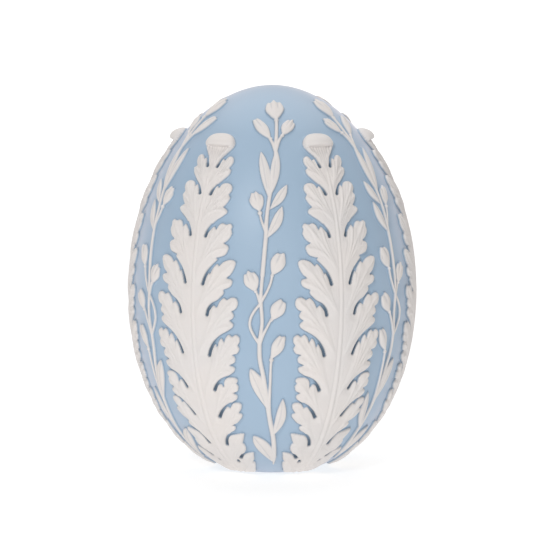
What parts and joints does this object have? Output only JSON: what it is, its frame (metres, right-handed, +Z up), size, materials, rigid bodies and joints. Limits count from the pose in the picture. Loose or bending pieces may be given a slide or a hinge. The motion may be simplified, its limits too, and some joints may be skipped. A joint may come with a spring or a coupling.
{
  "type": "decorative ceramic egg",
  "caption": "Standing ceramic egg ornament, a hollow pale blue body with white applied acanthus leaves and flower sprays in low relief.",
  "frame": {"origin": "middle of the flat foot, on the surface that the egg stands on", "axes": "+Z up along the egg's axis to the crown, -Y towards the front spray, +X to the right of it"},
  "size_m": [0.1132, 0.1126, 0.15],
  "materials": {
    "blue_body": "pale blue stained clay, unglazed, with a soft satin sheen",
    "white_leaf": "white unglazed clay with a fine matt surface",
    "white_spray": "white unglazed clay with a fine matt surface"
  },
  "bodies": {
    "root": {"egg_body": "blue_body", "leaf_front_right": "white_leaf", "leaf_right": "white_leaf", "leaf_back_right": "white_leaf", "leaf_back_left": "white_leaf", "leaf_left": "white_leaf", "leaf_front_left": "white_leaf", "spray_front": "white_spray", "spray_front_right": "white_spray", "spray_back_right": "white_spray", "spray_back": "white_spray", "spray_back_left": "white_spray", "spray_front_left": "white_spray"}
  },
  "joints": []
}
